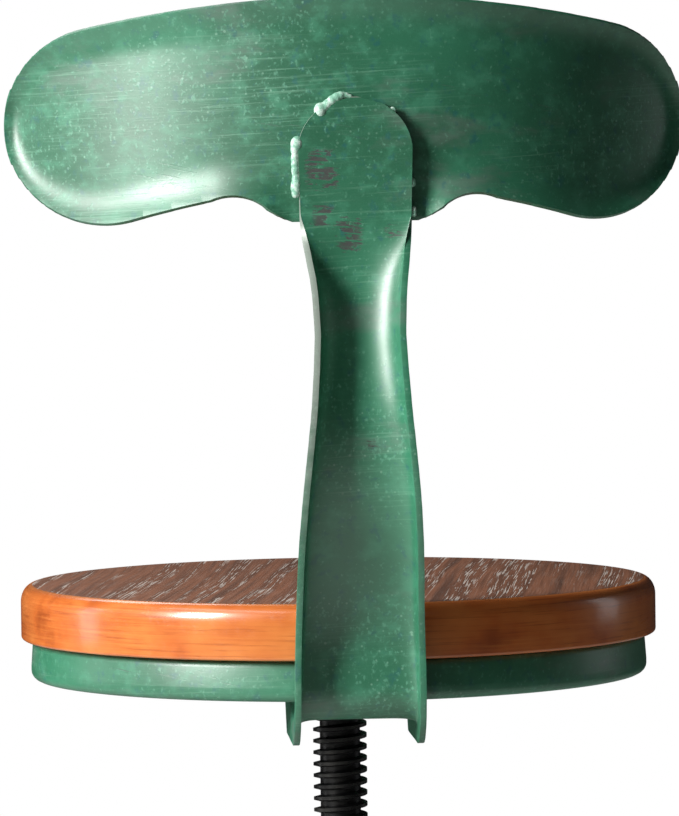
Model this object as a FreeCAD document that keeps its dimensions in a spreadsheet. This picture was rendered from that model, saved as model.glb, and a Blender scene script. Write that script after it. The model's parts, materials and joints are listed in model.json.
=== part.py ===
import FreeCAD, Part
import Sketcher
import math
import os
import re

os.makedirs("parts", exist_ok=True)
Vector = FreeCAD.Vector

# Adjustable swivel stool. The origin is on the floor under the screw, +Z is up,
# the sitter faces +Y and the backrest stands at -Y. Lengths are millimetres.
DRIVING_SIZES = {
    # seat board and pan
    "seat_top_height": 680,
    "board_diameter": 330,
    "board_thickness": 28,
    "board_top_round": 7,
    "board_bottom_round": 1.5,
    "board_overhang": 5,
    "pan_depth": 21,
    "pan_wall": 2,
    "pan_corner_round": 3,
    "pan_lip_width": 7,
    # screw and its nut
    "thread_diameter": 28,
    "thread_pitch": 6,
    "thread_depth": 3.5,
    "thread_crest": 1.7,
    "thread_flank_run": 1.05,
    "thread_root": 0.5,
    "thread_gap": 0.35,
    "spindle_length": 302,
    "thread_start": 12,
    "thread_length": 262,
    "spindle_end_chamfer": 1.5,
    # plate on top of the screw
    "top_plate_diameter": 112,
    "top_plate_thickness": 6,
    "boss_wall": 8,
    "boss_length": 16,
    "weld_leg": 5,
    # fixings
    "bolt_circle": 72,
    "bolt_diameter": 8,
    "bolt_head_width": 13,
    "bolt_head_height": 5.3,
    "bolt_nut_height": 6.5,
    "bolt_tail": 2.5,
    "washer_diameter": 16,
    "washer_thickness": 1.6,
    "hole_gap": 0.4,
    "recess_gap": 3,
    "board_screw_circle": 250,
    "board_screw_diameter": 4.5,
    "board_screw_length": 18,
    "board_screw_head": 9,
    "board_screw_head_height": 3,
    "rivet_diameter": 8,
    "rivet_head": 14,
    "rivet_head_height": 3.5,
    "rivet_spacing": 30,
    "rivet_inset": 70,
    # upright and its arm under the pan
    "spine_wall": 3,
    "spine_flange": 13,
    "spine_bend_round": 12,
    "spine_base_width": 65,
    "spine_foot_width": 62,
    "spine_foot_rise": 25,
    "spine_swell_width": 56,
    "spine_swell_rise": 72,
    "spine_waist_width": 44.5,
    "spine_waist_rise": 135,
    "spine_neck_width": 50.5,
    "spine_neck_rise": 168,
    "spine_pan_gap": 5,
    "spine_reach": 22,
    "spine_lean_bottom_rise": -8,
    "spine_belly_reach": 18,
    "spine_belly_rise": 84,
    "spine_belly_round": 60,
    "spine_lean_top_rise": 180,
    "arm_drop": 9,
    "arm_flange": 12,
    "arm_deep_length": 75,
    "arm_rise_run": 34,
    "arm_plate_gap": 3,
    "arm_front": 58,
    # tab and backrest plate
    "tab_width": 57,
    "tab_top_rise": 251,
    "tab_crown": 26,
    "plate_wall": 2.5,
    "plate_bend_radius": 212,
    "plate_half_width": 170.5,
    "plate_top_rise": 300.5,
    "plate_bottom_rise": 190,
    "plate_lobe_radius": 48,
    "plate_lobe_rise": 238,
    "plate_shoulder_place": 132,
    "plate_hip_place": 110.5,
    "plate_notch_outer": 70,
    "plate_notch_inner": 46,
    "plate_notch_rise": 199.5,
    "plate_notch_bulge": 2.5,
    "plate_tongue_width": 62,
    "plate_weld_gap": 0.2,
    "bead_radius": 3.6,
    # hub and bushes
    "hub_drop": 111,
    "hub_length": 90,
    "hub_wall": 7,
    "bush_wall": 4,
    "nut_length": 42,
    "nut_flange_lip": 5,
    "nut_flange_thickness": 4,
    "guide_length": 20,
    "guide_gap": 0.4,
    "lock_screw_diameter": 8,
    "lock_screw_length": 9,
    "lock_screw_tip": 1.2,
    "lock_screw_drop": 10,
    "lock_screw_socket": 4,
    "lock_screw_socket_depth": 4,
    # loose stop washer and its bolt
    "stop_washer_lip": 9,
    "stop_washer_thickness": 4,
    "stop_washer_gap": 0.3,
    "end_bolt_diameter": 12,
    "end_bolt_length": 26,
    "end_bolt_head_width": 19,
    "end_bolt_head_height": 7.5,
    # legs, feet and foot ring
    "leg_diameter": 25.4,
    "leg_wall": 2,
    "leg_top_drop": 23,
    "leg_bend_place": 92,
    "leg_bend_radius": 60,
    "leg_foot_place": 236,
    "foot_wall": 4.3,
    "foot_length": 46,
    "foot_sole": 9,
    "gusset_thickness": 5,
    "gusset_height": 38,
    "gusset_reach": 44,
    "ring_height": 232,
    "ring_bar_diameter": 16,
    "ring_gap": 0.3,
    "ring_bead_radius": 8.5,
    "leg_bead_radius": 3.5,
}

# Sizes that follow from the driving ones.
DERIVED_SIZES = {
    "pan_diameter": "board_diameter - 2 * board_overhang",
    "spine_foot_height": "seat_top_height + spine_foot_rise",
    "spine_swell_height": "seat_top_height + spine_swell_rise",
    "spine_waist_height": "seat_top_height + spine_waist_rise",
    "spine_neck_height": "seat_top_height + spine_neck_rise",
    "spine_lean_bottom": "seat_top_height + spine_lean_bottom_rise",
    "spine_lean_top": "seat_top_height + spine_lean_top_rise",
    "spine_belly_height": "seat_top_height + spine_belly_rise",
    "tab_top_height": "seat_top_height + tab_top_rise",
    "plate_top_height": "seat_top_height + plate_top_rise",
    "plate_bottom_height": "seat_top_height + plate_bottom_rise",
    "plate_lobe_height": "seat_top_height + plate_lobe_rise",
    "plate_notch_height": "seat_top_height + plate_notch_rise",
    "hub_bore": "thread_diameter + 2 * bush_wall",
    "hub_diameter": "hub_bore + 2 * hub_wall",
    "boss_diameter": "thread_diameter + 2 * boss_wall",
    "nut_flange_diameter": "hub_bore + 2 * nut_flange_lip",
    "stop_washer_diameter": "thread_diameter + 2 * stop_washer_lip",
    "foot_diameter": "leg_diameter + 2 * foot_wall",
    "board_bottom": "seat_top_height - board_thickness",
    "pan_bottom": "board_bottom - pan_depth",
    "pan_underside": "board_bottom - pan_wall",
    "arm_underside": "pan_underside - spine_wall",
    "spindle_top": "arm_underside",
    "top_plate_underside": "arm_underside - top_plate_thickness",
    "boss_bottom": "top_plate_underside - boss_length",
    "spindle_bottom": "spindle_top - spindle_length",
    "thread_radius": "thread_diameter / 2",
    "core_radius": "thread_radius - thread_depth",
    "helix_foot": "spindle_bottom + thread_start",
    "hub_top_height": "pan_bottom - hub_drop",
    "hub_bottom": "hub_top_height - hub_length",
    "lock_screw_height": "hub_top_height - lock_screw_drop",
    "lock_screw_inset": "thread_radius + lock_screw_tip",
    "leg_top_height": "hub_top_height - leg_top_drop",
    "nut_bottom": "hub_top_height - nut_length",
    "stop_washer_top": "spindle_bottom",
    "stop_washer_bottom": "spindle_bottom - stop_washer_thickness",
    "spine_front": "-(pan_diameter / 2 + spine_pan_gap)",
    "rivet_setback": "-(spine_front + rivet_inset)",
    "tab_front": "spine_front - spine_reach",
    "tab_back": "tab_front - spine_wall",
    "belly_front": "tab_front - spine_belly_reach",
    "belly_back": "belly_front - spine_wall",
    "arm_low_underside": "pan_bottom - arm_drop",
    "spine_bottom": "arm_low_underside - arm_flange - 1",
    "spine_top": "plate_bottom_height",
    "plate_outer_radius": "plate_bend_radius + plate_wall / 2",
    "plate_centre": "tab_front + plate_weld_gap + plate_outer_radius",
    "bolt_radius": "bolt_diameter / 2",
    "bolt_hole_radius": "bolt_radius + hole_gap",
    "plate_shoulder_height": "plate_lobe_height + sqrt(plate_lobe_radius ^ 2"
                             " - (plate_half_width - plate_lobe_radius - plate_shoulder_place) ^ 2)",
    "plate_hip_height": "plate_lobe_height - sqrt(plate_lobe_radius ^ 2"
                        " - (plate_half_width - plate_lobe_radius - plate_hip_place) ^ 2)",
    "hub_radius": "hub_diameter / 2",
    "leg_radius": "leg_diameter / 2",
    "leg_slope": "(leg_foot_place - leg_bend_place) / (leg_top_height - foot_sole)",
    "leg_tilt_cosine": "1 / sqrt(1 + leg_slope ^ 2)",
    "ring_bar_radius": "ring_bar_diameter / 2",
    "leg_place_at_ring": "leg_foot_place - (ring_height - foot_sole) * leg_slope",
    "ring_radius": "leg_place_at_ring"
                   " + (leg_radius + ring_bar_radius + ring_gap) / leg_tilt_cosine",
}

doc = FreeCAD.newDocument("swivel_stool")
sheet = doc.addObject("Spreadsheet::Sheet", "sizes")
for row, (alias, number) in enumerate(DRIVING_SIZES.items(), 1):
    sheet.set("A%d" % row, alias)
    sheet.set("B%d" % row, str(number))
    sheet.setAlias("B%d" % row, alias)
for row, (alias, formula) in enumerate(DERIVED_SIZES.items(), 1):
    sheet.set("D%d" % row, alias)
    sheet.set("E%d" % row, "=" + formula)
    sheet.setAlias("E%d" % row, alias)
doc.recompute()


def bound(formula):
    """The formula with every size read from the sheet."""
    return re.sub(r"[a-z]\w*_\w*", lambda word: "sizes." + word[0], str(formula))


def value(formula):
    return float(sheet.evalExpression(str(formula)))


def set_size(thing, prop, formula):
    thing.setExpression(prop, bound(formula))


def origin_part(body, role):
    return [part for part in body.Origin.OriginFeatures if part.Role == role][0]


def new_body(name):
    body = doc.addObject("PartDesign::Body", name)
    body.Label = name
    return body


def new_sketch(body, role, name, offset=None):
    sketch = body.newObject("Sketcher::SketchObject", body.Name + "_" + name)
    sketch.AttachmentSupport = [(origin_part(body, role), "")]
    sketch.MapMode = "FlatFace"
    if offset is not None:
        set_size(sketch, "AttachmentOffset.Base.z", offset)
    return sketch


def pin_point(sketch, geometry, end, x, y):
    """Ties one point of a sketch to the origin by two formulas."""
    for kind, formula in (("DistanceX", x), ("DistanceY", y)):
        tie = Sketcher.Constraint(kind, -1, 1, geometry, end, value(formula))
        index = sketch.addConstraint(tie)
        sketch.setExpression("Constraints[%d]" % index, bound(formula))


def add_circle(sketch, radius, x="0", y="0"):
    middle = Vector(value(x), value(y), 0)
    ring = sketch.addGeometry(Part.Circle(middle, Vector(0, 0, 1), value(radius)))
    pin_point(sketch, ring, 3, x, y)
    index = sketch.addConstraint(Sketcher.Constraint("Radius", ring, value(radius)))
    sketch.setExpression("Constraints[%d]" % index, bound(radius))
    return ring


def add_side(sketch, start, end):
    """A straight side, or an arc that bulges left by the start's third formula."""
    here = Vector(value(start[0]), value(start[1]), 0)
    there = Vector(value(end[0]), value(end[1]), 0)
    if len(start) == 2:
        return sketch.addGeometry(Part.LineSegment(here, there)), 1, 2
    bulge = value(start[2])
    along = there - here
    left = Vector(-along.y, along.x, 0).normalize()
    radius = (along.Length ** 2 / 4 + bulge ** 2) / (2 * abs(bulge))
    side = math.copysign(1, bulge)
    middle = (here + there) / 2 + left * (bulge - side * radius)
    first, last = (there, here) if bulge > 0 else (here, there)
    angles = [math.atan2(spot.y - middle.y, spot.x - middle.x) for spot in (first, last)]
    circle = Part.Circle(middle, Vector(0, 0, 1), radius)
    arc = sketch.addGeometry(Part.ArcOfCircle(circle, angles[0], angles[1]))
    chord = "((%s - (%s)) ^ 2 + (%s - (%s)) ^ 2) / 4" % (end[0], start[0], end[1], start[1])
    formula = "(%s + (%s) ^ 2) / (2 * abs(%s))" % (chord, start[2], start[2])
    index = sketch.addConstraint(Sketcher.Constraint("Radius", arc, radius))
    sketch.setExpression("Constraints[%d]" % index, bound(formula))
    return (arc, 2, 1) if bulge > 0 else (arc, 1, 2)


def add_outline(sketch, corners):
    """A closed outline through corners given as formulas."""
    sides = [add_side(sketch, *pair) for pair in zip(corners, corners[1:] + corners[:1])]
    for here, after in zip(sides, sides[1:] + sides[:1]):
        tie = Sketcher.Constraint("Coincident", here[0], here[2], after[0], after[1])
        sketch.addConstraint(tie)
    for side, corner in zip(sides, corners):
        pin_point(sketch, side[0], side[1], corner[0], corner[1])


def add_hexagon(sketch, width, x="0", y="0"):
    corners = []
    for turn in range(0, 360, 60):
        across = "(%s) / 2 / cos(30)" % width
        corners.append(("(%s) + %s * cos(%d)" % (x, across, turn),
                        "(%s) + %s * sin(%d)" % (y, across, turn)))
    add_outline(sketch, corners)


def revolve(body, name, corners):
    """Turns an outline of (radius, height) corners about the body's Z axis."""
    sketch = new_sketch(body, "XZ_Plane", name + "_profile")
    add_outline(sketch, corners)
    turn = body.newObject("PartDesign::Revolution", body.Name + "_" + name)
    turn.Profile = sketch
    turn.ReferenceAxis = (origin_part(body, "Z_Axis"), [""])
    turn.Angle = 360
    doc.recompute()
    return turn


def pad(body, sketch, name, length, backwards=False, both_ways=False):
    feature = body.newObject("PartDesign::Pad", body.Name + "_" + name)
    feature.Profile = sketch
    set_size(feature, "Length", length)
    feature.Reversed = backwards
    feature.Midplane = both_ways
    doc.recompute()
    return feature


def pocket(body, sketch, name, length, backwards=False, both_ways=False):
    """Cuts a sketch out of the body and makes sure that something was cut."""
    before = body.Shape.Volume
    feature = body.newObject("PartDesign::Pocket", body.Name + "_" + name)
    feature.Profile = sketch
    set_size(feature, "Length", length)
    feature.Reversed = backwards
    feature.Midplane = both_ways
    doc.recompute()
    if body.Shape.Volume > before - 1e-3:
        raise ValueError("%s cuts nothing" % feature.Name)
    return feature


def polar(body, feature, name, count):
    pattern = body.newObject("PartDesign::PolarPattern", body.Name + "_" + name)
    pattern.Originals = [feature]
    pattern.Axis = (origin_part(body, "Z_Axis"), [""])
    pattern.Angle = 360
    pattern.Occurrences = count
    body.Tip = pattern
    doc.recompute()
    return pattern


def round_edges(body, name, radius, chosen, kind="Fillet"):
    """Rounds or bevels the edges of the body that pass the test."""
    base = body.Tip
    edges = ["Edge%d" % i for i, edge in enumerate(base.Shape.Edges, 1) if chosen(edge)]
    feature = body.newObject("PartDesign::" + kind, body.Name + "_" + name)
    feature.Base = (base, edges)
    set_size(feature, "Radius" if kind == "Fillet" else "Size", radius)
    doc.recompute()
    return feature


def ring_edge(radius, height):
    """Finds the circular edges about the Z axis at a radius and a height."""
    wanted = value(radius), value(height)

    def chosen(edge):
        if not isinstance(edge.Curve, Part.Circle):
            return False
        middle = edge.Curve.Center
        on_axis = math.hypot(middle.x, middle.y) < 0.01
        near = abs(edge.Curve.Radius - wanted[0]) < 0.01 and abs(middle.z - wanted[1]) < 0.01
        return on_axis and near

    return chosen


def cross_edge(y, z):
    """Finds the straight edges along X at one place of the side view."""
    wanted = value(y), value(z)

    def chosen(edge):
        ends = [vertex.Point for vertex in edge.Vertexes]
        near = all(math.hypot(p.y - wanted[0], p.z - wanted[1]) < 0.01 for p in ends)
        return near and abs(ends[0].x - ends[-1].x) > 1

    return chosen


def placed(node, turn):
    node.Placement = FreeCAD.Placement(Vector(), FreeCAD.Rotation(Vector(0, 0, 1), turn))
    return node


def cut(name, base, tools):
    """A node made of base with the tools' shapes taken away."""
    tool = tools[0]
    if len(tools) > 1:
        tool = doc.addObject("Part::MultiFuse", name + "_tools")
        tool.Shapes = tools
    node = doc.addObject("Part::Cut", name)
    node.Label = name
    node.Base = base
    node.Tool = tool
    doc.recompute()
    return node


NODES = []


def keep(node):
    NODES.append(node)
    return node


# ---- seat ----

def make_seat_board():
    body = new_body("seat_board")
    radius = "board_diameter / 2"
    revolve(body, "blank", [("0", "board_bottom"), (radius, "board_bottom"),
                            (radius, "seat_top_height"), ("0", "seat_top_height")])
    round_edges(body, "top_round", "board_top_round", ring_edge(radius, "seat_top_height"))
    round_edges(body, "bottom_round", "board_bottom_round", ring_edge(radius, "board_bottom"))
    holes = new_sketch(body, "XY_Plane", "screw_hole", "board_bottom")
    add_circle(holes, "board_screw_diameter / 2 + hole_gap / 4",
               "board_screw_circle / 2 * cos(45)", "board_screw_circle / 2 * sin(45)")
    hole = pocket(body, holes, "screw_holes", "board_screw_length - pan_wall + 1", True)
    polar(body, hole, "screw_hole_ring", 4)
    recess = new_sketch(body, "XY_Plane", "head_recess", "board_bottom")
    add_circle(recess, "bolt_head_width / 2 / cos(30) + recess_gap",
               "bolt_circle / 2 * cos(45)", "bolt_circle / 2 * sin(45)")
    seat = pocket(body, recess, "head_recesses", "bolt_head_height + recess_gap", True)
    polar(body, seat, "head_recess_ring", 4)
    for side in (-1, 1):
        rivet = new_sketch(body, "XY_Plane", "rivet_recess_%d" % (side + 1), "board_bottom")
        add_circle(rivet, "rivet_head / 2 + recess_gap / 2",
                   "%d * rivet_spacing / 2" % side, "-rivet_setback")
        pocket(body, rivet, "rivet_recess_cut_%d" % (side + 1),
               "rivet_head_height + recess_gap / 2", True)
    return keep(body)


def make_seat_pan():
    body = new_body("seat_pan")
    radius = "pan_diameter / 2"
    revolve(body, "pressing", [
        ("0", "pan_underside"), (radius + " - pan_wall", "pan_underside"),
        (radius + " - pan_wall", "pan_bottom + pan_wall"),
        (radius + " - pan_lip_width", "pan_bottom + pan_wall"),
        (radius + " - pan_lip_width", "pan_bottom"), (radius, "pan_bottom"),
        (radius, "board_bottom"), ("0", "board_bottom")])
    round_edges(body, "bottom_round", "pan_corner_round", ring_edge(radius, "pan_bottom"))
    round_edges(body, "top_round", "pan_corner_round", ring_edge(radius, "board_bottom"))
    holes = new_sketch(body, "XY_Plane", "bolt_hole", "pan_underside - 1")
    add_circle(holes, "bolt_hole_radius", "bolt_circle / 2 * cos(45)", "bolt_circle / 2 * sin(45)")
    hole = pocket(body, holes, "bolt_holes", "pan_wall + 2", True)
    polar(body, hole, "bolt_hole_ring", 4)
    screws = new_sketch(body, "XY_Plane", "screw_hole", "pan_underside - 1")
    add_circle(screws, "board_screw_diameter / 2 + hole_gap",
               "board_screw_circle / 2 * cos(45)", "board_screw_circle / 2 * sin(45)")
    screw = pocket(body, screws, "screw_holes", "pan_wall + 2", True)
    polar(body, screw, "screw_hole_ring", 4)
    rivets = new_sketch(body, "XY_Plane", "rivet_hole", "pan_underside - 1")
    for side in (-1, 1):
        add_circle(rivets, "rivet_diameter / 2", "%d * rivet_spacing / 2" % side, "-rivet_setback")
    pocket(body, rivets, "rivet_holes", "pan_wall + 2", True)
    return keep(body)


def make_board_screws():
    body = new_body("board_screws")
    x = "board_screw_circle / 2 * cos(45)"
    y = "board_screw_circle / 2 * sin(45)"
    shank = new_sketch(body, "XY_Plane", "shank", "pan_underside")
    add_circle(shank, "board_screw_diameter / 2", x, y)
    shank_pad = pad(body, shank, "shanks", "board_screw_length")
    head = new_sketch(body, "XY_Plane", "head", "pan_underside")
    add_circle(head, "board_screw_head / 2", x, y)
    head_pad = pad(body, head, "heads", "board_screw_head_height", True)
    body.AllowCompound = True
    pattern = polar(body, shank_pad, "screw_ring", 4)
    pattern.Originals = [shank_pad, head_pad]
    doc.recompute()
    return keep(body)


# ---- screw, its plate and fixings ----

def make_spindle():
    body = new_body("spindle")
    core = new_sketch(body, "XY_Plane", "core", "spindle_bottom")
    add_circle(core, "core_radius")
    pad(body, core, "core_pad", "spindle_length")
    for end, place, length in (("lower", "spindle_bottom", "thread_start / 2"),
                               ("upper", "boss_bottom - 2", "spindle_top - boss_bottom + 2")):
        plain = new_sketch(body, "XY_Plane", end + "_plain", place)
        add_circle(plain, "thread_radius")
        pad(body, plain, end + "_plain_pad", length)
    round_edges(body, "end_chamfer", "spindle_end_chamfer",
                ring_edge("thread_radius", "spindle_bottom"), "Chamfer")
    tooth = new_sketch(body, "XZ_Plane", "tooth")
    add_outline(tooth, [
        ("core_radius - thread_root", "helix_foot"),
        ("thread_radius", "helix_foot + thread_flank_run"),
        ("thread_radius", "helix_foot + thread_flank_run + thread_crest"),
        ("core_radius - thread_root", "helix_foot + 2 * thread_flank_run + thread_crest")])
    thread = body.newObject("PartDesign::AdditiveHelix", "spindle_thread")
    thread.Profile = tooth
    thread.ReferenceAxis = (origin_part(body, "Z_Axis"), [""])
    thread.Mode = "pitch-height-angle"
    set_size(thread, "Pitch", "thread_pitch")
    set_size(thread, "Height", "thread_length")
    doc.recompute()
    hole = new_sketch(body, "XY_Plane", "bolt_hole", "spindle_bottom - 1")
    add_circle(hole, "end_bolt_diameter / 2")
    pocket(body, hole, "bolt_bore", "end_bolt_length - stop_washer_thickness + 2", True)
    return keep(body)


def make_top_plate():
    body = new_body("top_plate")
    bore = "thread_radius"
    revolve(body, "disc", [
        (bore, "boss_bottom"), ("boss_diameter / 2", "boss_bottom"),
        ("boss_diameter / 2", "top_plate_underside"),
        ("top_plate_diameter / 2", "top_plate_underside"),
        ("top_plate_diameter / 2", "arm_underside"), (bore, "arm_underside")])
    round_edges(body, "boss_edge", "1", ring_edge("boss_diameter / 2", "boss_bottom"), "Chamfer")
    holes = new_sketch(body, "XY_Plane", "bolt_hole", "top_plate_underside - 1")
    add_circle(holes, "bolt_hole_radius", "bolt_circle / 2 * cos(45)", "bolt_circle / 2 * sin(45)")
    hole = pocket(body, holes, "bolt_holes", "top_plate_thickness + 2", True)
    polar(body, hole, "bolt_hole_ring", 4)
    return keep(body)


def make_spindle_weld():
    body = new_body("spindle_weld")
    bottom = "boss_bottom - weld_leg / 2"
    revolve(body, "bead", [("thread_radius", bottom), ("thread_radius", "boss_bottom"),
                           ("thread_radius + weld_leg", "boss_bottom"),
                           ("thread_radius + weld_leg / 2", bottom)])
    return keep(body)


def make_bolt_group(name, features):
    """Four equal pieces on the bolt circle, each a stack of padded shapes."""
    body = new_body(name)
    body.AllowCompound = True
    x = "bolt_circle / 2 * cos(45)"
    y = "bolt_circle / 2 * sin(45)"
    pads = []
    for index, (shape, width, bottom, height) in enumerate(features):
        sketch = new_sketch(body, "XY_Plane", "shape_%d" % index, bottom)
        if shape == "hexagon":
            add_hexagon(sketch, width, x, y)
        else:
            add_circle(sketch, width + " / 2", x, y)
        if shape != "shank" and name != "mount_bolts":
            add_circle(sketch, "bolt_radius", x, y)
        pads.append(pad(body, sketch, "pad_%d" % index, height))
    pattern = polar(body, pads[0], "ring", 4)
    pattern.Originals = pads
    doc.recompute()
    return keep(body)


def make_mount_fixings():
    washer_bottom = "top_plate_underside - washer_thickness"
    nut_bottom = washer_bottom + " - bolt_nut_height"
    make_bolt_group("mount_bolts", [
        ("hexagon", "bolt_head_width", "board_bottom", "bolt_head_height"),
        ("shank", "bolt_diameter", nut_bottom + " - bolt_tail",
         "board_bottom - (" + nut_bottom + " - bolt_tail)")])
    make_bolt_group("mount_washers", [
        ("circle", "washer_diameter", washer_bottom, "washer_thickness")])
    make_bolt_group("mount_nuts", [
        ("hexagon", "bolt_head_width", nut_bottom, "bolt_nut_height")])


def make_arm_rivets():
    body = new_body("arm_rivets")
    body.AllowCompound = True
    for side in (-1, 1):
        x = "%d * rivet_spacing / 2" % side
        for part, bottom, radius, height in (
                ("lower", "arm_underside - rivet_head_height", "rivet_head", "rivet_head_height"),
                ("shank", "arm_underside", "rivet_diameter", "spine_wall + pan_wall"),
                ("upper", "board_bottom", "rivet_head", "rivet_head_height")):
            sketch = new_sketch(body, "XY_Plane", "%s_%d" % (part, side + 1), bottom)
            add_circle(sketch, radius + " / 2", x, "-rivet_setback")
            pad(body, sketch, "%s_pad_%d" % (part, side + 1), height)
    return keep(body)


def make_stop_washer():
    body = new_body("stop_washer")
    bore = "end_bolt_diameter / 2 + stop_washer_gap"
    low = "stop_washer_bottom"
    revolve(body, "disc", [(bore, low), ("stop_washer_diameter / 2", low),
                           ("stop_washer_diameter / 2", "stop_washer_top - stop_washer_gap / 2"),
                           (bore, "stop_washer_top - stop_washer_gap / 2")])
    return keep(body)


def make_end_bolt():
    body = new_body("end_bolt")
    head_top = "stop_washer_bottom - stop_washer_gap"
    head = new_sketch(body, "XY_Plane", "head", head_top)
    add_hexagon(head, "end_bolt_head_width")
    pad(body, head, "head_pad", "end_bolt_head_height", True)
    shank = new_sketch(body, "XY_Plane", "shank", head_top)
    add_circle(shank, "end_bolt_diameter / 2")
    pad(body, shank, "shank_pad", "end_bolt_length")
    return keep(body)


# ---- upright and backrest ----

def trim_sides(body, inset):
    """Cuts the front view of the upright: a waisted outline, less the inset."""
    stations = (("spine_base_width", "spine_bottom"), ("spine_foot_width", "spine_foot_height"),
                ("spine_swell_width", "spine_swell_height"),
                ("spine_waist_width", "spine_waist_height"),
                ("spine_neck_width", "spine_neck_height"), ("tab_width", "spine_top"))
    for side in (-1, 1):
        sketch = new_sketch(body, "XZ_Plane", "trim_%d_%s" % (side + 1, inset))
        inner = [("%d * (%s / 2 - %s)" % (side, width, inset), height)
                 for width, height in stations]
        outer = [("%d * spine_base_width" % side, "spine_top"),
                 ("%d * spine_base_width" % side, "spine_bottom")]
        add_outline(sketch, inner + outer)
        pocket(body, sketch, "trim_cut_%d" % (side + 1), "1000", both_ways=True)


def make_back_spine():
    """A pressed channel: an upright behind the seat, and an arm under the pan."""
    low = "arm_low_underside"
    elbow = "spine_front + 2 * spine_bend_round"
    blank = new_body("spine_blank")
    side = new_sketch(blank, "YZ_Plane", "side")
    add_outline(side, [
        ("tab_front", "spine_top"), ("tab_front", "spine_lean_top"),
        ("belly_front", "spine_belly_height"), ("spine_front", "spine_lean_bottom"),
        ("spine_front", low + " + spine_wall"),
        (elbow, low + " + spine_wall"), (elbow + " + arm_rise_run", "pan_underside"),
        ("arm_front", "pan_underside"), ("arm_front", "arm_underside"),
        ("-(top_plate_diameter / 2 + arm_plate_gap)", "arm_underside"),
        ("spine_front + arm_deep_length", low + " - arm_flange"),
        ("spine_front - spine_wall", low + " - arm_flange"),
        ("spine_front - spine_wall - spine_flange", low + " + arm_flange"),
        ("spine_front - spine_wall - spine_flange", "spine_lean_bottom"),
        ("belly_back - spine_flange", "spine_belly_height"),
        ("tab_back - spine_flange", "spine_lean_top - spine_flange"), ("tab_back", "spine_top")])
    pad(blank, side, "pressing", "spine_base_width + 2", both_ways=True)
    round_edges(blank, "elbow", "spine_bend_round",
                cross_edge("spine_front", low + " + spine_wall"))
    round_edges(blank, "belly", "spine_belly_round",
                cross_edge("belly_front", "spine_belly_height"))
    round_edges(blank, "flange_belly", "spine_belly_round + spine_wall + spine_flange",
                cross_edge("belly_back - spine_flange", "spine_belly_height"))
    trim_sides(blank, "0")
    hollow = new_body("spine_hollow")
    space = new_sketch(hollow, "YZ_Plane", "space")
    add_outline(space, [
        ("tab_back", "spine_top + 1"), ("tab_back", "spine_lean_top"),
        ("belly_back", "spine_belly_height"),
        ("spine_front - spine_wall", "spine_lean_bottom"), ("spine_front - spine_wall", low),
        (elbow + " + spine_wall / 3", low), (elbow + " + arm_rise_run", "arm_underside"),
        ("arm_front + 1", "arm_underside"), ("arm_front + 1", "spine_bottom - 1"),
        ("belly_back - 2 * spine_flange", "spine_bottom - 1"),
        ("belly_back - 2 * spine_flange", "spine_top + 1")])
    pad(hollow, space, "space_pad", "spine_base_width + 2", both_ways=True)
    round_edges(hollow, "elbow", "spine_bend_round + spine_wall",
                cross_edge("spine_front - spine_wall", low))
    round_edges(hollow, "belly", "spine_belly_round + spine_wall",
                cross_edge("belly_back", "spine_belly_height"))
    trim_sides(hollow, "spine_wall")
    tab = new_body("spine_tab")
    face = new_sketch(tab, "XZ_Plane", "face", "-tab_front")
    half = "tab_width / 2"
    shoulder = "tab_top_height - tab_crown"
    add_outline(face, [("-" + half, "spine_top"), (half, "spine_top"),
                       (half, shoulder, "-tab_crown"), ("-" + half, shoulder)])
    pad(tab, face, "face_pad", "spine_wall")
    channel = cut("spine_channel", blank, [hollow])
    whole = doc.addObject("Part::MultiFuse", "spine_whole")
    whole.Shapes = [channel, tab]
    x = "bolt_circle / 2 * cos(45)"
    holes = [bore("spine_hole_%d" % i, "bolt_hole_radius", "%d * %s" % (sx, x), "%d * %s" % (sy, x))
             for i, (sx, sy) in enumerate(((1, 1), (-1, 1), (-1, -1), (1, -1)))]
    holes.append(bore("spine_hole_screw", "thread_radius + hole_gap", "0", "0"))
    holes += [bore("spine_rivet_hole_%d" % i, "rivet_diameter / 2",
                   "%d * rivet_spacing / 2" % sx, "-rivet_setback")
              for i, sx in enumerate((1, -1))]
    return keep(cut("back_spine", whole, holes))


def bore(name, radius, x, y, bottom="arm_low_underside", height="pan_depth + arm_drop"):
    """An upright drilling tool."""
    tool = doc.addObject("Part::Cylinder", name)
    set_size(tool, "Radius", radius)
    set_size(tool, "Height", height)
    set_size(tool, "Placement.Base.x", x)
    set_size(tool, "Placement.Base.y", y)
    set_size(tool, "Placement.Base.z", bottom)
    return tool


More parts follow.
